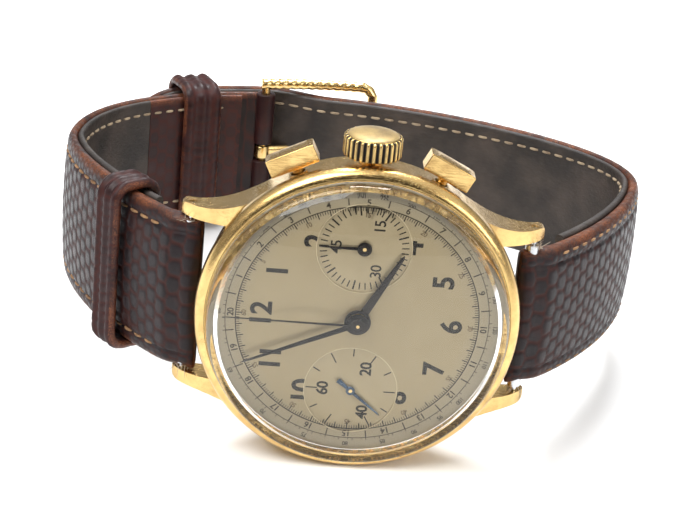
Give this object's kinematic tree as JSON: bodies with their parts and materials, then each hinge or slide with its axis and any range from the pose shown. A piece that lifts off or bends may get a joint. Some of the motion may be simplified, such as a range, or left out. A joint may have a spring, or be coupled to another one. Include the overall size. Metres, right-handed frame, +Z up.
{
  "type": "wristwatch chronograph",
  "caption": "Round gold-coloured wrist chronograph with two sunk registers, a fluted crown and two pushers, on a buckled brown leather strap.",
  "frame": {"origin": "middle of the footprint on the ground, under the watch lying on the 9 o'clock side of its case and buckle", "axes": "+X from 12 o'clock to 6 o'clock, +Y from the dial towards the buckle, +Z up, roughly towards the crown"},
  "size_m": [0.069, 0.0602, 0.0374],
  "materials": {
    "case_gold": "polished, worn gold plate",
    "buckle_gold": "polished, worn gold plate",
    "crystal": "clear domed crystal",
    "dial": "aged champagne satin",
    "black_hands": "black gloss",
    "blued_steel": "blued",
    "movement_steel": "polished",
    "wheel_brass": "gilt",
    "bridge_nickel": "nickel plated, striped",
    "jewel": "ruby",
    "lizard_leather": "dark brown lizard grain, glossy",
    "lining_leather": "worn smooth lining",
    "filler": "pale fibre board"
  },
  "bodies": {
    "root": {"case_band": "case_gold", "bezel": "case_gold", "crystal": "crystal", "case_back": "case_gold", "crown_tube": "case_gold", "case_clamps": "movement_steel", "dial": "dial", "pusher_tubes": "case_gold", "pusher_springs": "movement_steel", "mainplate": "bridge_nickel", "barrel_bridge": "bridge_nickel", "train_bridge": "bridge_nickel", "balance_cock": "bridge_nickel", "pallet_bridge": "bridge_nickel", "hairspring": "blued_steel", "chronograph_bridge": "bridge_nickel", "jewels": "jewel", "bridge_screws": "movement_steel", "spring_bars": "movement_steel", "buckle_side_leather": "lizard_leather", "buckle_side_lining": "lining_leather", "tail_side_leather": "lizard_leather", "tail_side_lining": "lining_leather", "strap_fillers": "filler", "fixed_keeper": "lizard_leather", "buckle_pin": "buckle_gold"},
    "hour_hand": {"hour_wheel": "wheel_brass", "hour_hand": "black_hands"},
    "minute_hand": {"cannon_pinion": "movement_steel", "minute_hand": "black_hands"},
    "minute_wheel": {"minute_wheel": "wheel_brass"},
    "fourth_wheel": {"fourth_wheel": "wheel_brass", "small_seconds_hand": "blued_steel"},
    "third_wheel": {"third_wheel": "wheel_brass"},
    "centre_wheel": {"centre_wheel": "wheel_brass"},
    "mainspring_barrel": {"mainspring_barrel": "wheel_brass"},
    "escape_wheel": {"escape_wheel": "movement_steel"},
    "pallet_fork": {"pallet_fork": "movement_steel"},
    "balance_wheel": {"balance_wheel": "wheel_brass"},
    "chronograph_runner": {"chronograph_runner": "wheel_brass", "sweep_seconds_hand": "black_hands"},
    "intermediate_wheel": {"intermediate_wheel": "wheel_brass"},
    "minute_counter": {"minute_counter_wheel": "wheel_brass", "minute_counter_hand": "black_hands"},
    "winding_stem": {"winding_stem": "movement_steel"},
    "crown": {"crown": "case_gold"},
    "winding_pinion": {"winding_pinion": "movement_steel"},
    "crown_wheel": {"crown_wheel": "movement_steel"},
    "ratchet_wheel": {"ratchet_wheel": "movement_steel"},
    "start_pusher": {"start_pusher": "case_gold"},
    "reset_pusher": {"reset_pusher": "case_gold"},
    "operating_lever": {"operating_lever": "movement_steel"},
    "reset_hammer": {"reset_hammer": "movement_steel"},
    "column_wheel": {"column_wheel": "movement_steel"},
    "coupling_lever": {"coupling_lever": "movement_steel"},
    "coupling_wheel": {"coupling_wheel": "wheel_brass"},
    "buckle_frame": {"buckle_frame": "buckle_gold"},
    "buckle_tongue": {"buckle_tongue": "buckle_gold"},
    "free_keeper": {"free_keeper": "lizard_leather"}
  },
  "joints": [
    {"name": "minute_hand_turn", "type": "hinge", "parent": "root", "child": "minute_hand", "pos_m": [0, -0.0246, 0.01737], "axis": [0, -0.9898, 0.1422], "continuous": true},
    {"name": "hour_hand_turn", "type": "hinge", "parent": "root", "child": "hour_hand", "pos_m": [0, -0.0246, 0.01737], "axis": [0, -0.9898, 0.1422], "continuous": true},
    {"name": "minute_wheel_turn", "type": "hinge", "parent": "root", "child": "minute_wheel", "pos_m": [0.0018, -0.02416, 0.02045], "axis": [0, -0.9898, 0.1422], "continuous": true},
    {"name": "small_seconds_turn", "type": "hinge", "parent": "root", "child": "fourth_wheel", "pos_m": [0, -0.02578, 0.00915], "axis": [0, -0.9898, 0.1422], "continuous": true},
    {"name": "third_wheel_turn", "type": "hinge", "parent": "root", "child": "third_wheel", "pos_m": [0.00138, -0.02521, 0.01313], "axis": [0, -0.9898, 0.1422], "continuous": true},
    {"name": "centre_wheel_turn", "type": "hinge", "parent": "root", "child": "centre_wheel", "pos_m": [0, -0.0246, 0.01737], "axis": [0, -0.9898, 0.1422], "continuous": true},
    {"name": "barrel_turn", "type": "hinge", "parent": "root", "child": "mainspring_barrel", "pos_m": [-0.00483, -0.02402, 0.02138], "axis": [0, -0.9898, 0.1422], "continuous": true},
    {"name": "escape_wheel_turn", "type": "hinge", "parent": "root", "child": "escape_wheel", "pos_m": [0.00349, -0.02555, 0.01076], "axis": [0, -0.9898, 0.1422], "continuous": true},
    {"name": "pallet_swing", "type": "hinge", "parent": "root", "child": "pallet_fork", "pos_m": [0.00552, -0.02533, 0.0123], "axis": [0, -0.9898, 0.1422], "range_deg": [-4, 4]},
    {"name": "balance_swing", "type": "hinge", "parent": "root", "child": "balance_wheel", "pos_m": [0.0083, -0.02503, 0.0144], "axis": [0, -0.9898, 0.1422], "range_deg": [-270, 270]},
    {"name": "sweep_seconds_turn", "type": "hinge", "parent": "root", "child": "chronograph_runner", "pos_m": [0, -0.0246, 0.01737], "axis": [0, -0.9898, 0.1422], "continuous": true},
    {"name": "intermediate_wheel_turn", "type": "hinge", "parent": "root", "child": "intermediate_wheel", "pos_m": [0, -0.02388, 0.02235], "axis": [0, -0.9898, 0.1422], "continuous": true},
    {"name": "minute_counter_turn", "type": "hinge", "parent": "root", "child": "minute_counter", "pos_m": [0, -0.02342, 0.02558], "axis": [0, -0.9898, 0.1422], "continuous": true},
    {"name": "crown_pull", "type": "slide", "parent": "root", "child": "winding_stem", "axis": [0, 0.1422, 0.9898], "range_m": [0, 0.0006]},
    {"name": "crown_turn", "type": "hinge", "parent": "winding_stem", "child": "crown", "pos_m": [0, -0.01917, 0.03477], "axis": [0, 0.1422, 0.9898], "continuous": true},
    {"name": "winding_pinion_turn", "type": "hinge", "parent": "root", "child": "winding_pinion", "pos_m": [0, -0.02017, 0.02784], "axis": [0, 0.1422, 0.9898], "continuous": true},
    {"name": "crown_wheel_turn", "type": "hinge", "parent": "root", "child": "crown_wheel", "pos_m": [-0.00247, -0.0231, 0.0278], "axis": [0, -0.9898, 0.1422], "continuous": true},
    {"name": "ratchet_wheel_turn", "type": "hinge", "parent": "root", "child": "ratchet_wheel", "pos_m": [-0.00483, -0.02402, 0.02138], "axis": [0, -0.9898, 0.1422], "continuous": true},
    {"name": "start_press", "type": "slide", "parent": "root", "child": "start_pusher", "axis": [0.4446, -0.1273, -0.8866], "range_m": [0, 0.0006], "stiffness_N_per_m": 300, "springref_m": -0.0008},
    {"name": "reset_press", "type": "slide", "parent": "root", "child": "reset_pusher", "axis": [-0.4446, -0.1273, -0.8866], "range_m": [0, 0.0006], "stiffness_N_per_m": 300, "springref_m": -0.0008},
    {"name": "operating_lever_rock", "type": "hinge", "parent": "root", "child": "operating_lever", "pos_m": [-0.01121, -0.02375, 0.02327], "axis": [0, -0.9898, 0.1422], "range_deg": [0, 3]},
    {"name": "hammer_rock", "type": "hinge", "parent": "root", "child": "reset_hammer", "pos_m": [0.0078, -0.02409, 0.02093], "axis": [0, -0.9898, 0.1422], "range_deg": [-12, 0]},
    {"name": "column_wheel_turn", "type": "hinge", "parent": "root", "child": "column_wheel", "pos_m": [-0.0102, -0.02505, 0.0142], "axis": [0, -0.9898, 0.1422], "continuous": true},
    {"name": "coupling_rock", "type": "hinge", "parent": "root", "child": "coupling_lever", "pos_m": [0, -0.02578, 0.00915], "axis": [0, -0.9898, 0.1422], "range_deg": [-1, 0]},
    {"name": "coupling_wheel_turn", "type": "hinge", "parent": "coupling_lever", "child": "coupling_wheel", "pos_m": [0.00085, -0.02538, 0.01193], "axis": [0, -0.9898, 0.1422], "continuous": true},
    {"name": "buckle_frame_lift", "type": "hinge", "parent": "root", "child": "buckle_frame", "pos_m": [-0.011, 0.02573, 0.01014], "axis": [0, 0.1422, 0.9898], "range_deg": [0, 2]},
    {"name": "tongue_lift", "type": "hinge", "parent": "buckle_frame", "child": "buckle_tongue", "pos_m": [-0.011, 0.02573, 0.01014], "axis": [0, 0.1422, 0.9898], "range_deg": [0, 6]},
    {"name": "free_keeper_slide", "type": "slide", "parent": "root", "child": "free_keeper", "axis": [-0.607, 0.7867, -0.113], "range_m": [-0.002, 0.002]}
  ],
  "couplings": [
    {"joint": "hour_hand_turn", "follows": "minute_hand_turn", "ratio": 0.083333},
    {"joint": "minute_wheel_turn", "follows": "minute_hand_turn", "ratio": -0.33333},
    {"joint": "third_wheel_turn", "follows": "small_seconds_turn", "ratio": -0.13333},
    {"joint": "centre_wheel_turn", "follows": "small_seconds_turn", "ratio": 0.016667},
    {"joint": "barrel_turn", "follows": "small_seconds_turn", "ratio": -0.0027778},
    {"joint": "escape_wheel_turn", "follows": "small_seconds_turn", "ratio": -10},
    {"joint": "coupling_wheel_turn", "follows": "small_seconds_turn", "ratio": -1.2},
    {"joint": "intermediate_wheel_turn", "follows": "sweep_seconds_turn", "ratio": -0.066667},
    {"joint": "minute_counter_turn", "follows": "sweep_seconds_turn", "ratio": 0.022222},
    {"joint": "winding_pinion_turn", "follows": "crown_turn", "ratio": 1},
    {"joint": "crown_wheel_turn", "follows": "crown_turn", "ratio": 0.66667},
    {"joint": "ratchet_wheel_turn", "follows": "crown_turn", "ratio": -0.42857}
  ]
}
